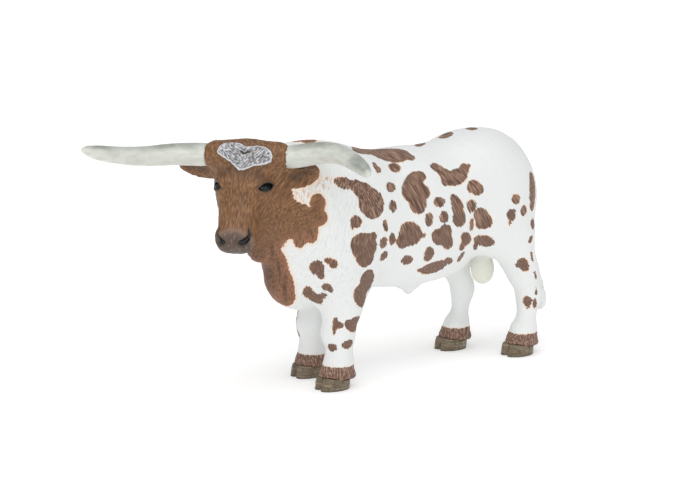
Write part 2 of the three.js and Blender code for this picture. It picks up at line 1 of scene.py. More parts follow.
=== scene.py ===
import math

import bmesh
import bpy
import numpy as np
from mathutils import Euler, Matrix, Vector, noise
from mathutils.bvhtree import BVHTree


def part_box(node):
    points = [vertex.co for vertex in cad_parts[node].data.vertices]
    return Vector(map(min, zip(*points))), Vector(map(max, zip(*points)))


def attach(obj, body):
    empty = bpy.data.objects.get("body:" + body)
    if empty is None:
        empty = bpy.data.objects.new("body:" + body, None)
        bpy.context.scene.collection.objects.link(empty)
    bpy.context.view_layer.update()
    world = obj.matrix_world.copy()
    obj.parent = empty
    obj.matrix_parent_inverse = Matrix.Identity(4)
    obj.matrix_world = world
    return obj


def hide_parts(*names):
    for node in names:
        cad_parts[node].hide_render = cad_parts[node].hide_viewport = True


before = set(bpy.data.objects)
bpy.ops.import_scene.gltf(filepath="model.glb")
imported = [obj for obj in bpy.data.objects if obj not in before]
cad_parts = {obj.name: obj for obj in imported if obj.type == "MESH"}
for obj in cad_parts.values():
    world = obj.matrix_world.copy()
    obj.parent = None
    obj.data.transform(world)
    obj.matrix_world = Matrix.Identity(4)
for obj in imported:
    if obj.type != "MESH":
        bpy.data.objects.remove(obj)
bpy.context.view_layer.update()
MM = 0.001


# The body. On the real toy everything but the horns is one soft plastic moulding, and this skin is all of
# it but the hooves and eyes. The flesh nodes are merged, swollen until the gaps between them close, drawn
# into one mesh, let down again and smoothed. The eyes are merged in to fill their sockets.
FLESH = ["torso", "neck", "head", "tail", "scrotum", "ear_left", "ear_right"]
for corner in ("front_left", "front_right", "hind_left", "hind_right"):
    FLESH += ["leg_" + corner, "pastern_" + corner]
SKIN_SWELL = 0.26 * MM
SKIN_GRAIN = 0.685 * MM
SOCK_TOP = 7.5  # mm over the ground
LIDS_REACH = 4.2
HEAD_YAW = math.radians(43)
HEAD_DROOP = math.radians(52)
HEAD_PLACE = Matrix.Translation(Vector((-14.8, -34.337, 74.2)) * MM)
HEAD_TURN = Euler((HEAD_DROOP, 0, HEAD_YAW)).to_matrix().to_4x4()
HEAD = HEAD_PLACE @ HEAD_TURN
EYE_AT = (6.9, -12.4, 1.1)  # in the head's own millimetres, sideways for either side


def merged(names, swell):
    """One mesh from copies of CAD nodes, its doubled corners joined and each pushed out by swell."""
    shell = bmesh.new()
    for name in names:
        shell.from_mesh(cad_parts[name].data)
    bmesh.ops.remove_doubles(shell, verts=shell.verts, dist=0.001 * MM)
    shell.normal_update()
    for corner in shell.verts:
        corner.co += corner.normal * swell
    return shell


def piece(name, shell):
    """A smooth-shaded object in the scene, made from the shell, which is used up."""
    mesh = bpy.data.meshes.new(name)
    shell.to_mesh(mesh)
    shell.free()
    made = bpy.data.objects.new(name, mesh)
    bpy.context.scene.collection.objects.link(made)
    made.data.polygons.foreach_set("use_smooth", [True] * len(made.data.polygons))
    return made


def remeshed(shell, grain, swell):
    """The shell as one even mesh whose faces are about grain across, let down again by swell."""
    rough = piece("rough", shell)
    even = rough.modifiers.new("even", "REMESH")
    even.mode = "VOXEL"
    even.voxel_size = grain
    drawn = rough.evaluated_get(bpy.context.evaluated_depsgraph_get()).to_mesh()
    fresh = bmesh.new()
    fresh.from_mesh(drawn)
    bpy.data.objects.remove(rough)
    fresh.normal_update()
    for corner in fresh.verts:
        corner.co -= corner.normal * swell
    return fresh


def smoothed(shell, corners, times):
    """Each of these corners moved halfway to the middle of its neighbours, that many times."""
    for _ in range(times):
        bmesh.ops.smooth_vert(shell, verts=corners, factor=0.5, use_axis_x=True, use_axis_y=True,
                              use_axis_z=True)


def refined(shell, chosen):
    """The faces between the chosen corners cut in four."""
    for corner in shell.verts:
        corner.tag = chosen(corner.co)
    edges = [edge for edge in shell.edges if edge.verts[0].tag and edge.verts[1].tag]
    bmesh.ops.subdivide_edges(shell, edges=edges, cuts=1, use_grid_fill=True)


to_head = HEAD.inverted()


def on_head(place):
    """True from the nape forwards, with the roots of the ears and horns."""
    at = to_head @ place / MM
    return at.y < 2 and at.z > -13 and abs(at.x) < 20


def near_eye(place):
    at = to_head @ place / MM
    return (Vector((abs(at.x), at.y, at.z)) - Vector(EYE_AT)).length < LIDS_REACH


shell = remeshed(merged(FLESH + ["eye_left", "eye_right"], SKIN_SWELL), SKIN_GRAIN, SKIN_SWELL)
smoothed(shell, [corner for corner in shell.verts if not on_head(corner.co)], 4)
smoothed(shell, [corner for corner in shell.verts if on_head(corner.co)], 1)
refined(shell, on_head)
smoothed(shell, [corner for corner in shell.verts if on_head(corner.co)], 3)
refined(shell, near_eye)
refined(shell, lambda place: place.z < (SOCK_TOP + 0.7) * MM)
smoothed(shell, [corner for corner in shell.verts if near_eye(corner.co)], 2)
skin = piece("skin", shell)


# The face. The mould maker cut lids over the eyes, nostrils, a mouth and a raised heart of hair on the
# forehead. Each is a push on the corners of the skin along their own normals, or along the eye's axis,
# worked out in the head's own millimetres.
LID_SLANT = math.radians(35)
LID_HALF_LENGTH = 2.8
LID_HALF_HEIGHTS = (1.05, 1.3)  # above and below the middle of the eye
LID_SWELL = 0.2
LID_RIM = 0.3
LID_CREASE = 0.14
BROW_BONE = 0.3
EYE_HOLLOW = 0.95
NOSTRIL_WAY = [(4.6, -26.2, 1.8), (5.1, -27.9, 1.5), (4.6, -29.5, 1.6), (3.7, -30.7, 1.8),
               (2.7, -31.1, 2.2)]
NOSTRIL_RADII = [0.3, 0.45, 0.75, 1.05, 0.7]
NOSTRIL_DEPTH = 0.9
NOSTRIL_RIM = 0.28
HALF_MOUTH = [(5.2, -24.5, -4.4), (4.8, -28.4, -4.1), (2.8, -31.4, -3.8)]
CHIN = (0, -32.4, -3.6)
MOUTH_DEPTH = 0.35
LIP_RIM = 0.12
HEART = [(-8.1, -2.9), (-7.7, -1.5), (-6.4, -0.2), (-4.5, 0.1), (-2.3, -0.1), (-0.5, -0.7), (0.8, -1.6),
         (2.1, -1.4), (4.1, -0.9), (6.5, -1.1), (8.3, -2.1), (9.0, -3.6), (8.7, -5.0), (7.1, -6.0),
         (5.1, -6.8), (3.5, -7.4), (2.0, -8.3), (0.6, -8.9), (-0.5, -8.9), (-1.8, -7.7), (-3.7, -6.1),
         (-5.8, -4.9), (-7.4, -3.8)]
HEART_NOTCH = [(-0.5, -3.1, 7.3), (0.6, -3.9, 7.4), (2.1, -3.2, 7.3)]
HEART_LIFT = 0.22
HEART_RIM_LIFT = 0.1
NOTCH_DEPTH = 0.25
ANYWHERE = 9.0  # the edge distance of corners that a form doesn't reach


def read(what):
    flat = np.empty(len(skin.data.vertices) * 3)
    skin.data.vertices.foreach_get(what, flat)
    return flat.reshape(-1, 3)


def ramp(values, low, high):
    """0 up to low and 1 from high, with a soft start and end. Low may be above high."""
    share = np.clip((values - low) / (high - low), 0, 1)
    return share * share * (3 - 2 * share)


def ridge(values, middle, width):
    """A soft crest that is 1 at the middle and falls off over the width."""
    return np.exp(-((values - middle) / width) ** 2)


def from_way(points, way, radii=None):
    """How far each point is from a way of straight stretches, or from a rod of these radii along it."""
    nearest = np.full(len(points), 99.0)
    radii = radii or [0] * len(way)
    for start, end, thin, thick in zip(way, way[1:], radii, radii[1:]):
        start, run = np.array(start), np.array(end) - np.array(start)
        share = np.clip((points - start) @ run / (run @ run), 0, 1)
        apart = np.linalg.norm(points - start - share[:, None] * run, axis=1)
        nearest = np.minimum(nearest, apart - thin - (thick - thin) * share)
    return nearest


def from_outline(points, outline):
    """How far each point is from a closed outline in its plane, below 0 inside it."""
    nearest = np.full(len(points), 99.0)
    inside = np.zeros(len(points), bool)
    for start, end in zip(outline, outline[1:] + outline[:1]):
        start, end = np.array(start), np.array(end)
        run = end - start
        share = np.clip((points - start) @ run / (run @ run), 0, 1)
        nearest = np.minimum(nearest, np.linalg.norm(points - start - share[:, None] * run, axis=1))
        crosses = (points[:, 1] < start[1]) != (points[:, 1] < end[1])
        rise = np.where(abs(run[1]) < 1e-9, 1e-9, run[1])
        inside ^= crosses & (points[:, 0] < start[0] + (points[:, 1] - start[1]) * run[0] / rise)
    return np.where(inside, -nearest, nearest)


corners = read("co") / MM
normals = read("normal")
turn_to_head = np.array(to_head)[:3, :3]
local = corners @ turn_to_head.T + np.array(to_head.translation) / MM
push = np.zeros(len(corners))
shift = np.zeros_like(corners)

# lids, with a crease and the brow bone above each eye, and a hollow where the eye lies
eye_edge = np.full(len(corners), ANYWHERE)
eye_near = np.zeros(len(corners))
for side in (1, -1):
    outwards = np.array((side, 0, 1)) * 0.7071
    across = np.array((side, 0, -1)) * 0.7071
    apart = local - np.array((side * EYE_AT[0], EYE_AT[1], EYE_AT[2]))
    u, v, depth = apart @ across + 0.2, apart[:, 1] - 0.35, apart @ outwards
    length_way = u * math.cos(LID_SLANT) + v * math.sin(LID_SLANT)
    height_way = v * math.cos(LID_SLANT) - u * math.sin(LID_SLANT)
    half_height = np.where(height_way > 0, *LID_HALF_HEIGHTS)
    edge = np.abs(height_way) - half_height * np.clip(1 - (length_way / LID_HALF_LENGTH) ** 2, -2, 1)
    reach = np.linalg.norm(apart, axis=1)
    in_front = ramp(depth, -1.2, -0.2) * ramp(reach, 5.0, 3.6)
    edge = np.where(in_front > 0, edge, ANYWHERE)
    above = ramp(height_way, -0.3, 0.4)
    lids = LID_SWELL * ramp(reach, LIDS_REACH, 2.4) + LID_RIM * ridge(edge, 0.3, 0.35)
    lids += above * (BROW_BONE * ridge(edge, 2.0, 0.6) - LID_CREASE * ridge(edge, 1.15, 0.25))
    hollow = -EYE_HOLLOW * ramp(edge, 0.0, -0.4)
    lift = in_front * np.where(edge < 0.0, lids * ramp(edge, -0.4, 0) + hollow, lids)
    shift += lift[:, None] * (outwards @ turn_to_head)
    eye_edge = np.minimum(eye_edge, edge)
    eye_near = np.maximum(eye_near, ramp(reach, 3.6, 2.6))

nostril_edge = np.full(len(corners), ANYWHERE)
for side in (1, -1):
    edge = from_way(local, [(side * x, y, z) for x, y, z in NOSTRIL_WAY], NOSTRIL_RADII)
    push += NOSTRIL_RIM * ridge(edge, 0.6, 0.4) - NOSTRIL_DEPTH * ramp(edge, 0.25, -0.5)
    nostril_edge = np.minimum(nostril_edge, edge)

other_half = [(-x, y, z) for x, y, z in reversed(HALF_MOUTH)]
mouth_edge = from_way(local, HALF_MOUTH + [CHIN] + other_half)
push += LIP_RIM * ridge(mouth_edge, 0.95, 0.35) - MOUTH_DEPTH * ramp(mouth_edge, 0.6, 0.1)

heart_edge = np.where(local[:, 2] > 2.5, from_outline(local[:, :2], HEART), ANYWHERE)
push += HEART_LIFT * ramp(heart_edge, 0.2, -0.25) + HEART_RIM_LIFT * ridge(heart_edge, -0.45, 0.3)
notch_edge = from_way(local, HEART_NOTCH)
push -= NOTCH_DEPTH * ramp(notch_edge, 0.5, 0.1)


# The hair. It is cut into the mould in short strokes, fanning down the face, slanting down and back over
# the body, and straight down on the neck, the socks and the brush of the tail. A hair place holds each
# corner's way across the strokes, along them and into the body, in mm, and the paint follows it too.
MIDDLE_X = -12.6
AXIS_HEIGHT = 52  # of the barrel of the body
BARREL_RADIUS = 15
WITHERS_Y = -20.0
NAPE_AT = (-14.8, -27.537, 70)
NAPE_WAY = (-0.5, 0.866, -0.05)
MUZZLE_AT = (0, -33.0, -0.4)
MUZZLE_RADIUS = 6.4
BODY_CUT = 0.12
LEG_CUT_LESS = 0.08
NECK_CUT = 0.24
FACE_CUT = 0.2
HEART_CUT = 0.18
SOCK_CUT = 0.2
BRUSH_CUT = 0.4
# which way the heart's strokes run on either side of its point
LOBE_WAYS = np.array([[0.8, -0.6]]), np.array([[0.6, 0.8]])
RIGHT_FRONT_FOOT = (-21.2, -8.0)
CANNON_FULLNESS = 0.7
FURROWS = ((3.2, -8.6), (5.0, -8.0), (1.6, -10.2))
FURROW_DEPTH = 0.16
FURROW_RIM = 0.1


def strokes(places, width, length):
    """Smooth noise from -1 to 1 that is drawn out along the strokes."""
    return np.array([noise.noise(Vector((x / width, y / length, z / width))) for x, y, z in places])


# over the body the strokes start steep at the withers and lie flatter towards the rump
behind_neck = corners[:, 1] - WITHERS_Y
body_slope = -1.9 + 0.02 * behind_neck
body_fall = -1.9 * behind_neck + 0.01 * behind_neck ** 2
steepness = 1 / np.sqrt(1 + body_slope ** 2)
from_middle = np.abs(corners[:, 0] - MIDDLE_X)
over_axis = corners[:, 2] - AXIS_HEIGHT
girth = BARREL_RADIUS * np.arctan2(over_axis, from_middle)
body_hair = np.stack([(girth - body_fall) * steepness, behind_neck / steepness,
                      np.hypot(from_middle, over_axis)], 1)
fan = 1 + 0.15 * np.clip(local[:, 1] + 14, 0, 12)
face_hair = np.stack([local[:, 0] / fan * np.sqrt(fan), local[:, 1], local[:, 2]], 1)

nape = (corners - np.array(NAPE_AT)) @ np.array(NAPE_WAY)
head_share = ramp(nape, 1.5, -2.5) * ramp(local[:, 2], -14, -9)
neck_share = ramp(nape, 14, 5) * (1 - head_share)
muzzle_edge = np.linalg.norm(local - np.array(MUZZLE_AT), axis=1) - MUZZLE_RADIUS
bare = np.maximum(ramp(muzzle_edge, 1.0, -1.0), eye_near)
sock_share = ramp(corners[:, 2], SOCK_TOP + 0.9, SOCK_TOP - 0.1)
brush_share = ramp(corners[:, 1], 74, 77) * ramp(corners[:, 2], 36, 26)
leg_share = ramp(corners[:, 2], 32, 24)
body_share = (1 - head_share) * (1 - neck_share) * (1 - sock_share) * (1 - brush_share)
push += strokes(body_hair, 0.75, 3.5) * body_share * (BODY_CUT - LEG_CUT_LESS * leg_share)
upright = np.stack([corners[:, 0], corners[:, 2], corners[:, 1]], 1)
push += strokes(upright, 0.8, 3.5) * neck_share * (1 - sock_share) * NECK_CUT
push += strokes(face_hair, 0.5, 2.4) * head_share * (1 - bare) * np.where(heart_edge < 0, 0, FACE_CUT)
push += strokes(upright, 0.45, 2.5) * (sock_share * SOCK_CUT + brush_share * BRUSH_CUT)
lobe = np.where(local[:, :1] < 0.6, *LOBE_WAYS)
heart_along = (local[:, :2] * lobe).sum(1)
heart_across = (local[:, :2] * lobe[:, ::-1] * np.array([[-1, 1]])).sum(1)
heart_hair = np.stack([heart_across, heart_along, local[:, 2]], 1)
push += strokes(heart_hair, 0.4, 1.8) * np.where(heart_edge < 0, HEART_CUT, 0)
# the right front leg is stouter under the knee than its fellow
from_foot = np.linalg.norm(corners[:, :2] - np.array(RIGHT_FRONT_FOOT), axis=1)
push += CANNON_FULLNESS * ramp(from_foot, 8.5, 7.0) * ridge(corners[:, 2], 13.5, 4.5)
# furrows of the brow, running down and in towards the middle of the face
for side in (1, -1):
    for x, y in FURROWS:
        furrow = from_way(local, [(side * (x + 2.6), y + 1.8, 6.2), (side * x, y - 1.2, 6.8),
                                  (side * (x - 1.2), y - 4.4, 6.6)])
        push += FURROW_RIM * ridge(furrow, 1.0, 0.35) - FURROW_DEPTH * ramp(furrow, 0.7, 0.1)

corners = corners + normals * push[:, None] + shift
skin.data.vertices.foreach_set("co", (corners * MM).ravel())
skin.data.update()


# Markings. The painter lays each brown spot on the white coat in a few overlapping dabs of a brush. A dab
# is given by its place on the skin, its half length and half width, and how far it leans from the body's
# length (mm and degrees). The skin keeps how far each corner is from the nearest painted edge.
LEFT_SPOTS = [
    [(2.5, -11.5, 65.7, 3.2, 1.8, -22), (3.6, -8.2, 64.7, 2.1, 1.8, 18), (4.5, -5.5, 62.9, 3.5, 2.8, -21),
     (5.5, -3.2, 59, 4.9, 4.6, -61)],
    [(-7.7, 11.7, 71.5, 8.1, 4.8, -12), (-5.1, 17.4, 70.6, 3.2, 1.8, -32),
     (-8.6, 3.1, 73.2, 7.1, 3.1, 38), (-5.2, 13.9, 70.5, 2.5, 1.7, 26)],
    [(1, 2.4, 68.4, 1.8, 1, 29), (0, 1.8, 69.7, 1.3, 1, 51)],
    [(-1.6, 10.5, 68, 2.5, 1.8, 16)],
    [(3.2, 5.6, 62.9, 2.1, 1.6, 8)],
    [(5, 5.1, 57.2, 1.9, 1.5, 84)],
    [(1.4, 16.6, 64.4, 4.2, 2.3, 15), (3, 14.3, 61.1, 4.7, 3.9, 20), (3.7, 18.3, 60.2, 2.4, 2, 47),
     (4.5, 15.2, 57, 3.2, 3.2, -33)],
    [(-0.2, 26.5, 66.4, 2.7, 1.9, -41), (0.9, 27.9, 64.9, 2.2, 1.7, 21), (1.9, 28.5, 63.3, 2.9, 2, 33),
     (1.8, 32.2, 63.5, 4.9, 2.6, 15), (0.9, 36.1, 65.6, 2, 1.7, 40), (0.9, 37.9, 66.3, 1, 0.5, 34)],
    [(3.5, 38, 60, 2.5, 2.2, 14), (3.7, 39.6, 59, 2.3, 1.9, -1)],
    [(4.7, 23.4, 56.7, 2.3, 1.6, -2)],
    [(4.4, 36.6, 54.3, 2, 1.8, -20), (4.5, 36.2, 52.7, 1, 0.8, -78)],
    [(4.3, 29.4, 57, 1.6, 1.5, -49), (4.6, 30.7, 54.7, 2.9, 2.4, -72), (4.7, 31.4, 50.8, 3.2, 2.7, -54)],
    [(4.1, 40.7, 50.5, 3.3, 2.5, -27), (3.9, 42.2, 48.5, 3.3, 2.5, -25), (3.5, 40.6, 47.4, 1.8, 1.3, -31),
     (4.1, 44.5, 47.7, 1.2, 0.8, -70)],
    [(5.3, 18.9, 51.7, 2.3, 1.5, -86)],
    [(5.2, 24.9, 51.8, 2, 1.8, -56)],
    [(3.9, 37.1, 47.9, 2.2, 0.9, -76)],
    [(5.4, 54.1, 54.7, 1.9, 1.7, -13)],
    [(5.6, 52.2, 49.6, 2.1, 1.8, -63), (5.3, 51.9, 47.2, 0.9, 0.6, -72), (5.6, 53.7, 51.2, 0.8, 0.4, 28)],
    [(5.2, 57.7, 50.6, 1.7, 1.6, 72)],
    [(3, 63.3, 56.1, 6.7, 2.5, 85)],
    [(3.3, 63.4, 45.3, 1.9, 1.7, -45)],
    [(4.1, 62, 40.5, 1.4, 1.1, 47)],
    [(-13, 29.1, 72.4, 4.4, 1.5, 39)],
    [(-15, 41, 74.2, 3.3, 2.5, 47)],
    [(-12.3, 49.6, 76.2, 2.5, 1.9, 74)],
    [(5.6, -9.3, 54, 2, 1.9, -28), (5.5, -10.6, 52.5, 0.7, 0.5, -90)],
    [(6, -6.4, 46.1, 5.1, 4.1, -26), (6.2, -3.1, 49, 1.6, 1.2, -21), (5.7, -6, 42.9, 4, 3.2, -39)],
    [(3.3, -3.4, 34.3, 4.4, 3.5, -68), (2.8, -5.3, 29.9, 4.4, 2.8, -56)],
    [(6, 1.7, 51.7, 2.1, 1, -81)],
    [(5.6, 1.1, 46.3, 1.9, 1.5, -81)],
    [(5.3, 4.7, 47, 2.1, 1.3, -81)],
    [(4.4, 2.2, 41.8, 1.8, 1.4, 67)],
    [(4.8, 11.9, 47.9, 4.8, 3.7, -29), (4.5, 9.2, 45.5, 2.9, 2.1, -36), (4.4, 12.2, 45.8, 3.3, 2.1, 2),
     (4.9, 16.5, 46.9, 1.6, 0.9, -12)],
    [(1.9, 12.9, 38.9, 2.4, 1.8, -37)],
    [(4.7, 24.2, 45.4, 4.2, 2.7, -23), (4.8, 26, 46.7, 3.1, 2.3, -53), (3.8, 27.5, 43.3, 3.4, 2.1, -50)],
    [(2.7, 35.9, 43.2, 3.4, 1.9, -43), (1.7, 35.3, 40.8, 2.3, 1.3, -68)],
    [(1.6, 44.6, 41.3, 3.7, 2.2, -17), (1.5, 41.7, 42, 2.4, 1.5, -43), (-0.3, 42.2, 39.4, 2.1, 1, -64)],
    [(-1.9, 37.6, 36.4, 2.6, 1.4, -77)],
    [(2.8, 20.9, 39.9, 3.2, 1.9, -70)],
    [(-1.2, 26.2, 34.5, 5.8, 3, 0), (-0.9, 31.9, 36, 3, 1.2, -40), (-1.3, 20.5, 34.1, 1.4, 0.7, -24)],
    [(0.2, -20, 40.2, 2.5, 2.2, 83), (0.6, -19.2, 38.5, 2.4, 1.4, -82)],
    [(2.9, -17.5, 42.5, 1.2, 0.9, -8), (3.8, -16.2, 41.4, 1.4, 1.3, -82)],
    [(-4.4, -20.2, 31.7, 2.4, 1.5, -71), (-4.5, -17.5, 29.6, 3, 2.1, -39),
     (-2.2, -16.7, 30.3, 2.1, 1.1, -86)],
    [(0.9, -16.9, 33.8, 1.6, 1.4, 57), (1.5, -15.7, 32.8, 1.1, 0.6, -72)],
    [(-0.2, -12.8, 21.6, 2.1, 1.1, -88), (0.6, -11.9, 21.2, 1.4, 1, -8),
     (-0.5, -13.2, 19.3, 1.5, 0.5, 89)],
    [(1.4, -7.4, 20.5, 3.6, 2, -29), (1.2, -5.7, 21.7, 3, 1.6, -34)],
    [(-1.7, -13.1, 13.7, 1.8, 1.4, 54)],
    [(1, -8.9, 14.6, 2.2, 1.6, -3)],
    [(2.1, 60.6, 31.8, 3, 1.8, -49), (1.3, 58.9, 31.6, 1.1, 0.8, -11)],
    [(-0.3, 64.7, 18.4, 1.9, 1.5, -80), (-0.4, 65.1, 16.7, 0.9, 0.6, -81)],
    [(2.4, 63.8, 34.1, 2.1, 0.6, -70)],
    [(1.8, 66.2, 27.5, 1.9, 0.5, -65)],
    [(1, 67.4, 21.5, 1.4, 0.5, -85)],
    [(0.6, 67.2, 17.5, 1.9, 0.9, -75)],
]
HEAD_BROWN = [
    (-1, -26.6, 55, 6.6, 5.7, -7), (1.4, -20.3, 60.1, 3.1, 2.5, 84), (1.8, -20.7, 55.9, 3.1, 2.8, -6),
    (0.7, -22.5, 51.7, 3.8, 2.4, -90), (-0.9, -25.3, 50.3, 3.9, 2.1, -87),
    (-2.3, -30.6, 56.2, 7.3, 6.2, -86), (-6, -32.1, 46, 7.3, 2.8, -76),
    (-7.4, -28.7, 39.2, 7.6, 3.1, -71), (-7.2, -26.9, 33.4, 6.5, 3.1, -78),
    (-8.6, -25.5, 29.1, 4.1, 2.7, -84),
]
CREST_PATCH = [(-11.9, -14.5, 77.3, 3.3, 2.1, 27), (-13.6, -17.0, 77.3, 3.0, 1.6, 10)]
STREAKS = [(-1.2, -24.6, 64.3, 3.2, 5.0, 0), (0.3, -18.4, 66.4, 4.0, 3.4, 0),
           (-2.6, -25.2, 67.2, 2.0, 2.0, 0)]
BACK_X = -3  # a marking whose dabs all lie right of this is on the back or the breast
DEWLAP_AT = (-11.4, -30.2, 38)
DEWLAP_HALF = (5.6, 6.5, 14)
BROWN_BEHIND_NAPE = 5.8
SCROTUM_HALF = (4.6, 5.4, 6.9)
SCROTUM_DROP = 2.5  # of the cream part's middle under the CAD solid's
# the line of the brow, darkened as painted shade of the brow and its furrows
BROW = [(-6.0, -9.5, 4.5), (-2.2, -8.2, 6.5), (0, -9.8, 6.8), (3.4, -8.6, 6.4), (6.4, -10, 4.2)]
BROW_RADIUS = 1.2
EARS = ((1, (9.5, 0, -7.8), (21.6, 0.2, -3.8)), (-1, (9.5, 0, -6), (22, 0, -3.3)))  # side, root and tip
EAR_RADII = [3.0, 4.4]
EAR_HOLLOW_RADIUS = 1.5
FAR = 8.0  # no edge further than this matters
canvas = BVHTree.FromObject(skin, bpy.context.evaluated_depsgraph_get())


def dab_edge(x, y, z, half_length, half_width, lean):
    """How far each corner of the skin is from the edge of one dab, in mm and below 0 inside it."""
    middle, out = canvas.find_nearest(Vector((x, y, z)) * MM)[:2]
    lead = Vector((0, 1, 0)) if abs(out.y) < 0.85 else Vector((1, 0, 0))
    along = (lead - out * out.dot(lead)).normalized()
    up = out.cross(along)
    lean = math.radians(lean)
    long_way = np.array(along * math.cos(lean) + up * math.sin(lean))
    cross_way = np.array(up * math.cos(lean) - along * math.sin(lean))
    apart = corners - np.array(middle) / MM
    reach = np.linalg.norm(apart, axis=1)
    u, v = apart @ long_way, apart @ cross_way
    flat = np.hypot(u, v) + 1e-9
    u, v = u * reach / flat, v * reach / flat
    ring = np.hypot(u / half_length, v / half_width)
    slope = np.hypot(u / half_length ** 2, v / half_width ** 2) + 1e-9
    return np.minimum(np.maximum(ring, 0.2) * (ring - 1) / slope, FAR)


def pooled(edges, softness):
    """The edges of one marking's dabs run together."""
    total = edges[0]
    for edge in edges[1:]:
        share = np.clip(0.5 + 0.5 * (total - edge) / softness, 0, 1)
        total = total + (edge - total) * share - softness * share * (1 - share)
    return total


def painted(dabs, softness=0.7):
    """How far each corner of the skin is from the edge of a marking painted with these dabs."""
    return pooled([dab_edge(*dab) for dab in dabs], softness)


def crossed_over(dabs, back=0.0, down=0.0):
    """The dabs of a marking on the other side of the body, moved back and down a little."""
    return [(2 * MIDDLE_X - x, y + back, z - down, length, width, -lean)
            for x, y, z, length, width, lean in dabs]


def remember(name, values):
    """Keep a number, or a place of three numbers, at each corner of the skin for the paint to read."""
    kind, slot = ("FLOAT", "value") if values.ndim == 1 else ("FLOAT_VECTOR", "vector")
    layer = skin.data.attributes.new(name, kind, "POINT")
    layer.data.foreach_set(slot, np.asarray(values, np.float32).ravel())


spot_edge = np.full(len(corners), FAR)
for marking in LEFT_SPOTS:
    spot_edge = np.minimum(spot_edge, painted(marking))
# the same hand painted the right side: the left side's spots crossed over, no two moved quite alike
for number, marking in enumerate(LEFT_SPOTS):
    if max(dab[0] for dab in marking) > BACK_X:
        over_there = crossed_over(marking, back=3.0 - 2.5 * (number % 3), down=1.6 * (number % 2))
        spot_edge = np.minimum(spot_edge, painted(over_there))
remember("spot_edge", spot_edge)

# the brown reaches from the head back over the neck and down the dewlap
dewlap = (corners - np.array(DEWLAP_AT)) / np.array(DEWLAP_HALF)
dewlap_edge = (np.linalg.norm(dewlap, axis=1) - 1) * DEWLAP_HALF[0]
brown_edge = np.minimum(painted(HEAD_BROWN), painted(crossed_over(HEAD_BROWN, back=-1.0)))
brown_edge = np.minimum(brown_edge, np.minimum(dewlap_edge, nape + BROWN_BEHIND_NAPE))
brown_edge = np.minimum(brown_edge, painted(CREST_PATCH))
ear_hollow_shade_edge = np.full(len(corners), FAR)
ears_edge = np.full(len(corners), FAR)
level = Matrix.Rotation(HEAD_YAW, 3, "Z")
for side, root, tip in EARS:
    way = [np.array(HEAD_PLACE.translation) / MM + np.array(level @ Vector((side * x, -ahead - 1.6, up)))
           for x, ahead, up in (root, tip)]
    ears_edge = np.minimum(ears_edge, from_way(corners, way, EAR_RADII))
    run = way[1] - way[0]
    # the middle of each ear's hollow, darkened as painted shade
    hollow_way = [way[0] + run * 0.35, way[0] + run * 0.8]
    ear_hollow_shade_edge = np.minimum(ear_hollow_shade_edge, from_way(corners, hollow_way) - EAR_HOLLOW_RADIUS)
remember("brown_edge", np.minimum(brown_edge, ears_edge))
remember("ear_shade_edge", ear_hollow_shade_edge)

scrotum_low, scrotum_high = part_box("scrotum")
scrotum_middle = np.array((scrotum_low + scrotum_high) / 2) / MM
bag = (corners - scrotum_middle + np.array((0, 0, SCROTUM_DROP))) / np.array(SCROTUM_HALF)
remember("scrotum_edge", (np.linalg.norm(bag, axis=1) - 1) * 4.5)
remember("streak_edge", painted(STREAKS, 2.0))
remember("heart_edge", heart_edge)
remember("notch_edge", notch_edge)
remember("muzzle_edge", muzzle_edge)
remember("nostril_edge", nostril_edge)
remember("eye_edge", eye_edge)
remember("mouth_edge", mouth_edge)
remember("brow_shade_edge", from_way(local, BROW) - BROW_RADIUS)
remember("body_hair", body_hair)
remember("face_hair", face_hair)
remember("heart_hair", heart_hair)
remember("head_share", head_share)
remember("neck_share", neck_share)
remember("shoulder_share", ramp(corners[:, 1], 8, -8) * ramp(corners[:, 2], 22, 30))


# The paint on the moulding: thin matt acrylic, brushed on by hand. Light paint catches the cut hair and
# darker paint sits in its hollows. Every brown edge has a thin tan fringe and a faint pale halo.
def shader_tree(name):
    made = bpy.data.materials.new(name)
    made.use_nodes = True
    return made, made.node_tree, made.node_tree.nodes["Principled BSDF"]


def feed(tree, socket, value):
    """Link another node's socket to this one, or give this one a number or colour of its own."""
    if isinstance(value, bpy.types.NodeSocket):
        tree.links.new(value, socket)
    else:
        socket.default_value = value


def put(tree, kind, **settings):
    """A shader node. A setting names one of its properties, or a socket with underscores for spaces."""
    node = tree.nodes.new("ShaderNode" + kind)
    for key, value in settings.items():
        if hasattr(node, key) and not isinstance(value, bpy.types.NodeSocket):
            setattr(node, key, value)
        else:
            feed(tree, node.inputs[key.replace("_", " ")], value)
    return node


def sum_of(tree, operation, *terms):
    """One step of arithmetic on numbers or sockets."""
    node = put(tree, "Math", operation=operation)
    for socket, term in zip(node.inputs, terms):
        feed(tree, socket, term)
    return node.outputs[0]


def step(tree, value, low, high, low_result=0.0, high_result=1.0):
    """A soft step from low_result at low to high_result at high."""
    node = put(tree, "MapRange", interpolation_type="SMOOTHSTEP", Value=value)
    for socket, number in zip(node.inputs[1:5], (low, high, low_result, high_result)):
        socket.default_value = number
    return node.outputs[0]


def colour(hexed):
    """A paint colour as eyes see it, in the linear numbers that shaders use."""
    seen = [(hexed >> bits & 255) / 255 for bits in (16, 8, 0)]
    return [((one + 0.055) / 1.055) ** 2.4 if one > 0.04045 else one / 12.92 for one in seen] + [1]


def over(tree, below, above, amount):
    """The paint above laid over the paint below where amount is 1."""
    node = put(tree, "Mix", data_type="RGBA")
    for socket, value in zip((node.inputs[0], node.inputs[6], node.inputs[7]), (amount, below, above)):
        feed(tree, socket, value)
    return node.outputs[2]


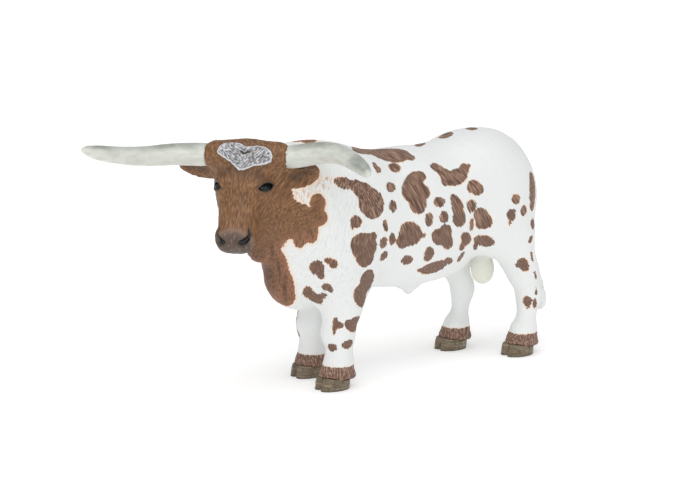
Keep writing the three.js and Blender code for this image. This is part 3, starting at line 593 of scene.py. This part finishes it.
def grain(tree, size, turn=(0, 0, 0), detail=2.0, roughness=0.5, way=None):
    """Noise whose patches are size (three lengths in metres) across, along axes turned by turn degrees.
    With a way, it follows that hair of the skin instead, and its lengths are in mm."""
    place = put(tree, "TexCoord").outputs["Object"]
    if way:
        place = put(tree, "Attribute", attribute_name=way).outputs["Vector"]
    mapping = put(tree, "Mapping", vector_type="TEXTURE", Vector=place)
    mapping.inputs["Rotation"].default_value = [math.radians(angle) for angle in turn]
    mapping.inputs["Scale"].default_value = size
    return put(tree, "TexNoise", Vector=mapping.outputs[0], Scale=1.0, Detail=detail,
               Roughness=roughness).outputs["Fac"]


def kept(tree, name):
    """A number that the mesh keeps at its corners."""
    return put(tree, "Attribute", attribute_name=name).outputs["Fac"]


def both(tree, first, second, share):
    """The first number where share is 0 and the second where it is 1."""
    node = put(tree, "Mix")
    for socket, value in zip((node.inputs[0], node.inputs[2], node.inputs[3]), (share, first, second)):
        feed(tree, socket, value)
    return node.outputs[0]


WHITE = colour(0xe7e9e8)
WHITE_SHADE = colour(0xd2d3d2)
SPOT_BROWN = colour(0x6e5141)
SPOT_LIGHT = colour(0xa88772)
SPOT_DARK = colour(0x4a352a)
FRINGE = colour(0xa96f48)
STREAK_TAN = colour(0xd6a077)
HALO = colour(0xecd9c6)
NECK_BROWN = colour(0x5c3c24)
NECK_RED = colour(0x8f6044)
NECK_LIGHT = colour(0x916b49)
NECK_DARK = colour(0x4b3322)
FACE_BROWN = colour(0x77502e)
FACE_LIGHT = colour(0x99734d)
MUZZLE_BROWN = colour(0x51433b)
MUZZLE_PINK = colour(0x8d7262)
BLACK = colour(0x121514)
EAR_DARK = colour(0x3d2b1d)
HEART_RIM = colour(0xd9d9de)
HEART_GREY = colour(0x8e8e91)
HEART_DARK = colour(0x57534f)
SOCK_BROWN = colour(0x755748)
SOCK_LIGHT = colour(0xb08e7a)
CREAM = colour(0xe2e3d6)

coat, tree, shader = shader_tree("painted_coat")
body_hair = grain(tree, (0.36, 1.9, 0.36), detail=0.8, way="body_hair")
face_hair = grain(tree, (0.42, 2.4, 0.42), detail=0.8, way="face_hair")
neck_hair = grain(tree, (0.4 * MM, 0.4 * MM, 2.6 * MM), (-10, 0, 10), detail=0.8)
down_hair = grain(tree, (0.36 * MM, 0.36 * MM, 1.6 * MM), detail=0.8)
blotches = grain(tree, (6 * MM,) * 3)
in_face = kept(tree, "head_share")
in_neck = kept(tree, "neck_share")
body_neck_hair = both(tree, body_hair, neck_hair, in_neck)
hair = both(tree, body_neck_hair, face_hair, in_face)
wander = sum_of(tree, "MULTIPLY_ADD", grain(tree, (0.9 * MM,) * 3), 0.6, -0.3)
feather = sum_of(tree, "MULTIPLY_ADD", hair, 1.3, -0.65)
spot_line = sum_of(tree, "ADD", sum_of(tree, "ADD", kept(tree, "spot_edge"), wander), feather)
brown_feather = sum_of(tree, "MULTIPLY_ADD", feather, 0.6, wander)
brown_line = sum_of(tree, "ADD", kept(tree, "brown_edge"), brown_feather)
brushed = step(tree, blotches, 0.42, 0.6)

# white coat, with grey strokes of painted shade in the cut hair of the neck and shoulder, and tan streaks
# behind the ear
shoulder = kept(tree, "shoulder_share")
cut_hair = both(tree, body_hair, neck_hair, shoulder)
# the grey strokes are painted shade of the cut hair on the neck and shoulder
hair_shade_grey = sum_of(tree, "MULTIPLY", step(tree, cut_hair, 0.5, 0.7, 0, 0.55), shoulder)
paint = over(tree, WHITE, WHITE_SHADE, hair_shade_grey)
streak = sum_of(tree, "MULTIPLY", step(tree, kept(tree, "streak_edge"), 0.8, -1.6),
                step(tree, grain(tree, (0.55 * MM, 0.55 * MM, 3.2 * MM), (-14, 0, 0)), 0.48, 0.6, 0, 0.8))
paint = over(tree, paint, STREAK_TAN, streak)

# spots, with light strokes in the upper ones and plain paint in the lower ones
height = put(tree, "SeparateXYZ", Vector=put(tree, "TexCoord").outputs["Object"]).outputs["Z"]
lined = step(tree, sum_of(tree, "MULTIPLY_ADD", blotches, 30 * MM, height), 60 * MM, 70 * MM, 0.35, 1)
light_strokes = sum_of(tree, "MULTIPLY", step(tree, body_neck_hair, 0.5, 0.6), lined)
dark_strokes = sum_of(tree, "MULTIPLY", step(tree, body_neck_hair, 0.46, 0.36), lined)
spot_paint = over(tree, SPOT_BROWN, SPOT_LIGHT, sum_of(tree, "MULTIPLY", light_strokes, 0.85))
spot_paint = over(tree, spot_paint, SPOT_DARK, sum_of(tree, "MULTIPLY", dark_strokes, 0.8))
fringe = sum_of(tree, "MULTIPLY", step(tree, spot_line, -0.4, -0.1), brushed)
spot_paint = over(tree, spot_paint, FRINGE, sum_of(tree, "MULTIPLY", fringe, 0.65))
halo = sum_of(tree, "MULTIPLY", step(tree, spot_line, 0.45, 0.05), brushed)
paint = over(tree, paint, HALO, halo)
paint = over(tree, paint, spot_paint, step(tree, spot_line, 0.07, -0.07))

# brown head and neck
neck_paint = over(tree, NECK_RED, NECK_BROWN, step(tree, kept(tree, "brown_edge"), -0.5, -5))
neck_paint = over(tree, neck_paint, NECK_LIGHT, step(tree, neck_hair, 0.5, 0.64, 0, 0.5))
neck_paint = over(tree, neck_paint, NECK_DARK, step(tree, neck_hair, 0.48, 0.34, 0, 0.7))
face_paint = over(tree, FACE_BROWN, FACE_LIGHT, step(tree, face_hair, 0.52, 0.64, 0, 0.6))
face_paint = over(tree, face_paint, NECK_DARK, step(tree, face_hair, 0.46, 0.34, 0, 0.6))
# darker brown along the brow: painted shade under the brow and in its furrows
face_paint = over(tree, face_paint, NECK_DARK, step(tree, kept(tree, "brow_shade_edge"), 2.0, -1.2, 0, 0.6))
neck_paint = over(tree, neck_paint, face_paint, in_face)
neck_paint = over(tree, neck_paint, FRINGE, step(tree, brown_line, -0.6, -0.1, 0, 0.4))
paint = over(tree, paint, HALO, step(tree, brown_line, 1.3, 0.1, 0, 0.8))
paint = over(tree, paint, neck_paint, step(tree, brown_line, 0.08, -0.08))
# darker in the middle of each ear: painted shade of its hollow
paint = over(tree, paint, EAR_DARK, step(tree, kept(tree, "ear_shade_edge"), 0.9, -0.9, 0, 0.6))

# heart-shaped patch on the forehead, its strokes fanning out from the point inside a pale rim
heart_hair = grain(tree, (0.27, 1.2, 0.27), detail=0.8, way="heart_hair")
heart_line = sum_of(tree, "ADD", kept(tree, "heart_edge"), sum_of(tree, "MULTIPLY", feather, 0.4))
heart_paint = over(tree, HEART_GREY, HEART_RIM, step(tree, heart_hair, 0.52, 0.62, 0, 0.8))
heart_paint = over(tree, heart_paint, HEART_DARK, step(tree, heart_hair, 0.48, 0.38, 0, 0.9))
heart_paint = over(tree, heart_paint, HEART_RIM, step(tree, heart_line, -0.6, -0.25, 0, 0.9))
# dark in the notch at the top of the heart: painted shadow of the fold
heart_paint = over(tree, heart_paint, EAR_DARK, step(tree, kept(tree, "notch_edge"), 0.45, 0.2))
# a dark band just outside the heart: painted shadow round its raised edge
paint = over(tree, paint, EAR_DARK, step(tree, heart_line, 0.6, 0.1, 0, 0.5))
paint = over(tree, paint, heart_paint, step(tree, heart_line, 0.08, -0.08))

# muzzle, mouth, nostrils and lids
muzzle_line = sum_of(tree, "ADD", kept(tree, "muzzle_edge"), sum_of(tree, "MULTIPLY", wander, 1.2))
muzzle_grain = grain(tree, (0.9 * MM, 0.9 * MM, 1.8 * MM), detail=2)
paint = over(tree, paint, MUZZLE_PINK, step(tree, muzzle_line, 1.3, 0.2, 0, 0.6))
muzzle_paint = over(tree, MUZZLE_BROWN, MUZZLE_PINK, step(tree, muzzle_grain, 0.52, 0.68, 0, 0.6))
paint = over(tree, paint, muzzle_paint, step(tree, muzzle_line, 0.8, -1.4, 0, 0.95))
paint = over(tree, paint, BLACK, step(tree, kept(tree, "mouth_edge"), 0.6, 0.2, 0, 0.8))
nostril_line = sum_of(tree, "ADD", kept(tree, "nostril_edge"), sum_of(tree, "MULTIPLY", wander, 0.2))
paint = over(tree, paint, EAR_DARK, step(tree, nostril_line, 0.7, 0.1, 0, 0.5))
in_nostril = step(tree, nostril_line, 0.12, -0.12)
paint = over(tree, paint, BLACK, in_nostril)
paint = over(tree, paint, EAR_DARK, step(tree, kept(tree, "eye_edge"), 1.0, 0.1, 0, 0.55))
in_lids = step(tree, kept(tree, "eye_edge"), 0.22, 0.0)
paint = over(tree, paint, BLACK, in_lids)

# socks above the hooves
sock_line = sum_of(tree, "ADD", sum_of(tree, "MULTIPLY_ADD", height, 1 / MM, -SOCK_TOP),
                   sum_of(tree, "MULTIPLY_ADD", down_hair, 0.8, -0.4))
sock_paint = over(tree, SOCK_BROWN, SOCK_LIGHT, step(tree, down_hair, 0.52, 0.62, 0, 0.8))
sock_paint = over(tree, sock_paint, SPOT_DARK, step(tree, down_hair, 0.47, 0.37, 0, 0.5))
paint = over(tree, paint, HALO, step(tree, sock_line, 0.5, 0.05, 0, 0.8))
paint = over(tree, paint, sock_paint, step(tree, sock_line, 0.06, -0.06))

# cream plastic of the scrotum
paint = over(tree, paint, CREAM, step(tree, kept(tree, "scrotum_edge"), 0.7, 0.0))
tree.links.new(paint, shader.inputs["Base Color"])
wet = sum_of(tree, "MAXIMUM", in_nostril, in_lids)
tree.links.new(sum_of(tree, "MULTIPLY_ADD", wet, -0.3, 0.55), shader.inputs["Roughness"])
low_hair = both(tree, hair, down_hair, step(tree, height, (SOCK_TOP + 1) * MM, SOCK_TOP * MM))
bump = put(tree, "Bump", Strength=0.5, Distance=0.25 * MM, Height=low_hair)
tree.links.new(bump.outputs[0], shader.inputs["Normal"])
skin.data.materials.append(coat)
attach(skin, "root")
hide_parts(*FLESH)


# Horns. Two separate soft plastic horns pushed into the poll, drawn smooth from the CAD horns. They are
# cream, greyer on the side that faces up, most near the root, and in a band before the tip.
HORN_CREAM = colour(0xd9dbd3)
HORN_DULL = colour(0xcccfc6)
HORN_GREY = colour(0x878e84)
ROOT_SUNK = 0.7  # how far the root is pushed into the head
TOP_GREY = 0.4  # how thick the grey is along the top, and what the root's top has more
ROOT_GREY = 0.5
TIP_GREY = 0.85
TIP_GREY_EDGE = {"horn_left": (-0.5, 0.5), "horn_right": (0.2, 0.9)}  # how far round the band comes

horn_coat, tree, shader = shader_tree("horn_plastic")
cloud = grain(tree, (4 * MM, 4 * MM, 1.5 * MM))
shade = kept(tree, "horn_shade")
horn_paint = over(tree, HORN_CREAM, HORN_DULL, step(tree, cloud, 0.4, 0.65))
shade = sum_of(tree, "MULTIPLY", shade, step(tree, cloud, 0.25, 0.6, 0.7, 1))
horn_paint = over(tree, horn_paint, HORN_GREY, shade)
tree.links.new(horn_paint, shader.inputs["Base Color"])
tree.links.new(step(tree, cloud, 0.3, 0.7, 0.34, 0.44), shader.inputs["Roughness"])
shader.inputs["Subsurface Weight"].default_value = 0.05
shader.inputs["Subsurface Scale"].default_value = 2 * MM
for name in ("horn_left", "horn_right"):
    shell = remeshed(merged([name], 0.1 * MM), 0.5 * MM, 0.06 * MM)
    smoothed(shell, list(shell.verts), 6)
    shell.normal_update()
    up = np.array([corner.normal.z for corner in shell.verts])
    out = np.array([(corner.co - HEAD_PLACE.translation).length for corner in shell.verts]) / MM
    inwards = HEAD.to_3x3() @ Vector((-1 if name == "horn_left" else 1, 0, 0))
    for corner, sunk in zip(shell.verts, ramp(out, 17.0, 14.5)):
        corner.co += inwards * ROOT_SUNK * MM * sunk
    horn = piece(name + "_moulding", shell)
    top_shade = ramp(up, 0.3, 0.95) * (TOP_GREY + ROOT_GREY * ramp(out, 14, 18) * ramp(out, 34, 24))
    tip_shade = TIP_GREY * ramp(up, *TIP_GREY_EDGE[name]) * ramp(out, 37, 43) * ramp(out, 49.5, 47)
    shades = horn.data.attributes.new("horn_shade", "FLOAT", "POINT")
    shades.data.foreach_set("value", np.maximum(top_shade, tip_shade).astype(np.float32))
    horn.data.materials.append(horn_coat)
    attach(horn, "root")
    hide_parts(name)


# Hooves. Each is part of the foot's moulding, with a cleft between its two claws and fine rings, and is
# drawn smooth from the CAD hoof. The olive brown paint is half glossy and darker round the sole.
HOOF_OLIVE = colour(0x6e604b)
HOOF_RING_HIGHLIGHT = colour(0xa3957c)
HOOF_DARK = colour(0x463b2c)
SOLE_DARK = colour(0x3a3227)
RING_DEPTH = 0.1
TOP_SPREAD = (0.09, 0.07)  # how much wider and longer the top gets, to fill the fringe of the sock
TOP_RISE = 0.5

hoof_coat, tree, shader = shader_tree("hoof_paint")
height = put(tree, "SeparateXYZ", Vector=put(tree, "TexCoord").outputs["Object"]).outputs["Z"]
rings = grain(tree, (6 * MM, 6 * MM, 0.5 * MM), detail=3, roughness=0.6)
worn = grain(tree, (1.6 * MM,) * 3, detail=3, roughness=0.6)
# lighter along the rings: painted highlight
hoof_paint = over(tree, HOOF_OLIVE, HOOF_RING_HIGHLIGHT, step(tree, rings, 0.5, 0.68, 0, 0.7))
hoof_paint = over(tree, hoof_paint, HOOF_DARK, step(tree, worn, 0.5, 0.36, 0, 0.6))
hoof_paint = over(tree, hoof_paint, SOLE_DARK, step(tree, height, 0.7 * MM, 0.1 * MM, 0, 0.7))
tree.links.new(hoof_paint, shader.inputs["Base Color"])
tree.links.new(step(tree, worn, 0.35, 0.65, 0.2, 0.36), shader.inputs["Roughness"])
bump = put(tree, "Bump", Strength=0.5, Distance=0.2 * MM, Height=rings)
tree.links.new(bump.outputs[0], shader.inputs["Normal"])
for corner_name in ("front_left", "front_right", "hind_left", "hind_right"):
    shell = remeshed(merged(["hoof_" + corner_name], 0.05 * MM), 0.3 * MM, 0.0)
    smoothed(shell, [corner for corner in shell.verts if corner.co.z > 0.25 * MM], 5)
    low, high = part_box("hoof_" + corner_name)
    middle = (Vector(low) + Vector(high)) / 2
    for corner in shell.verts:
        ring = noise.noise(Vector((corner.co.x * 120, corner.co.y * 120, corner.co.z * 1500)))
        corner.co += corner.normal * RING_DEPTH * MM * ring * min(corner.co.z / MM, 1)
        top = min(max(corner.co.z / MM / 1.6 - 0.6, 0), 1)
        corner.co.x += (corner.co.x - middle.x) * TOP_SPREAD[0] * top
        corner.co.y += (corner.co.y - middle.y) * TOP_SPREAD[1] * top
        corner.co.z += TOP_RISE * MM * top
        corner.co.z = max(corner.co.z, 0)
    hoof = piece("hoof_" + corner_name + "_moulding", shell)
    hoof.data.materials.append(hoof_coat)
    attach(hoof, "root")
    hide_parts("hoof_" + corner_name)


# Eyes. The eyeballs are part of the moulding, painted in black gloss that is a little green where it is
# thin. Each is a flattened ball in the CAD eye's place, lying behind the lids and facing 45 degrees out.
EYE_BLACK = colour(0x101213)
EYE_GREEN = colour(0x2a3331)
EYE_HALF = (1.4, 1.5, 2.2)

eye_coat, tree, shader = shader_tree("eye_gloss")
eye_cloud = grain(tree, (0.9 * MM,) * 3)
eye_paint = over(tree, EYE_BLACK, EYE_GREEN, step(tree, eye_cloud, 0.45, 0.7))
tree.links.new(eye_paint, shader.inputs["Base Color"])
tree.links.new(step(tree, eye_cloud, 0.4, 0.7, 0.1, 0.2), shader.inputs["Roughness"])
shader.inputs["Specular IOR Level"].default_value = 0.35
for side, name in ((1, "eye_left"), (-1, "eye_right")):
    ball = bmesh.new()
    place = HEAD @ Matrix.Translation(Vector((side * EYE_AT[0], EYE_AT[1], EYE_AT[2])) * MM)
    place = place @ Matrix.Rotation(math.radians(-45 * side), 4, "Y")
    place = place @ Matrix.Diagonal(Vector(EYE_HALF) * MM).to_4x4()
    bmesh.ops.create_uvsphere(ball, u_segments=40, v_segments=24, radius=1, matrix=place)
    eye = piece(name + "_ball", ball)
    eye.data.materials.append(eye_coat)
    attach(eye, "root")
    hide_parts(name)


# Studio. A wide white floor that glows a little, so that it shows as plain white, an even white sky, a
# broad soft light from above, a weaker one from the front, and the camera at the angle of the photograph.
FLOOR_GLOW = 0.22
SKY_LIGHT = 0.585
LOOKED_AT = (-38.4, 19.363, 38)
CAMERA_WAY = (0.80410, -0.56304, 0.19081)  # from what it looks at to the camera
CAMERA_DISTANCE = 0.6

floor_shell = bmesh.new()
bmesh.ops.create_grid(floor_shell, x_segments=1, y_segments=1, size=3)
floor = piece("floor", floor_shell)
floor_white, tree, shader = shader_tree("floor_white")
shader.inputs["Base Color"].default_value = (0.95, 0.95, 0.95, 1)
shader.inputs["Roughness"].default_value = 0.9
shader.inputs["Emission Color"].default_value = (1, 1, 1, 1)
shader.inputs["Emission Strength"].default_value = FLOOR_GLOW
floor.data.materials.append(floor_white)

world = bpy.data.worlds.new("studio")
world.use_nodes = True
world.node_tree.nodes["Background"].inputs[0].default_value = (1, 1, 1, 1)
world.node_tree.nodes["Background"].inputs[1].default_value = SKY_LIGHT
bpy.context.scene.world = world


def lamp(name, towards, strength, spread):
    """A soft light from far off in that direction, spread over that many degrees."""
    made = bpy.data.lights.new(name, "SUN")
    made.energy = strength
    made.angle = math.radians(spread)
    lit = bpy.data.objects.new(name, made)
    lit.rotation_euler = Vector(towards).to_track_quat("Z", "Y").to_euler()
    bpy.context.scene.collection.objects.link(lit)


lamp("top_light", (0.25, -0.3, 1), 1.1, 50)
lamp("side_light", (0.9, -0.6, 0.5), 0.4, 30)

back = Vector(CAMERA_WAY).normalized()
camera = bpy.data.objects.new("camera", bpy.data.cameras.new("camera"))
bpy.context.scene.collection.objects.link(camera)
camera.data.lens = 92.57
camera.data.sensor_width = 36
camera.location = Vector(LOOKED_AT) * MM + back * CAMERA_DISTANCE
camera.rotation_euler = back.to_track_quat("Z", "Y").to_euler()
bpy.context.scene.camera = camera
bpy.context.scene.view_settings.view_transform = "Standard"
